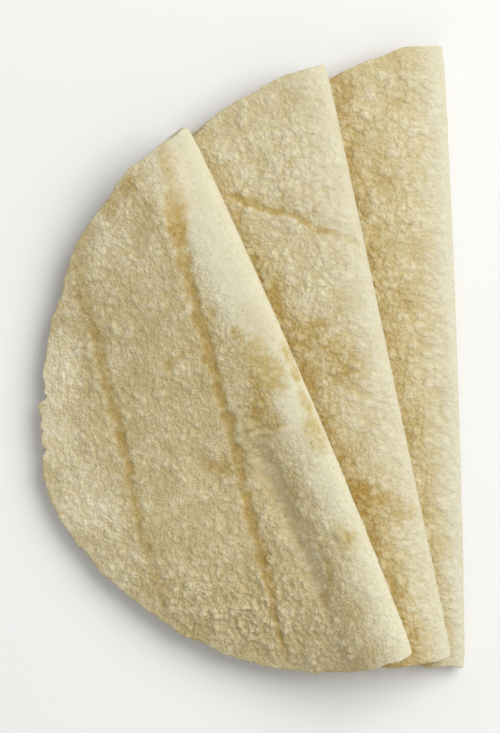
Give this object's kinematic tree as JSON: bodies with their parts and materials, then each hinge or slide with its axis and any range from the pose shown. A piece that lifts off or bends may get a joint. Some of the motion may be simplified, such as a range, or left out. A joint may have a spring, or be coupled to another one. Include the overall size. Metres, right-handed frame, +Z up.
{
  "type": "stack of folded flour tortillas",
  "caption": "Stack of flour tortillas, each folded in half and fanned so that the rounded folds lie side by side, pale with toasted stripes.",
  "frame": {"origin": "under the middle of the stack's outline, on the surface that it lies on", "axes": "+Z up; +Y along the back tortilla's fold, from the end where the folds meet to the end where they fan apart; +X from the round rims to the folds"},
  "size_m": [0.139, 0.2038, 0.0262],
  "materials": {
    "dough_back": "matte",
    "dough_middle": "matte",
    "dough_front": "matte"
  },
  "bodies": {
    "root": {"tortilla_back": "dough_back", "tortilla_middle": "dough_middle", "tortilla_front": "dough_front"}
  },
  "joints": []
}
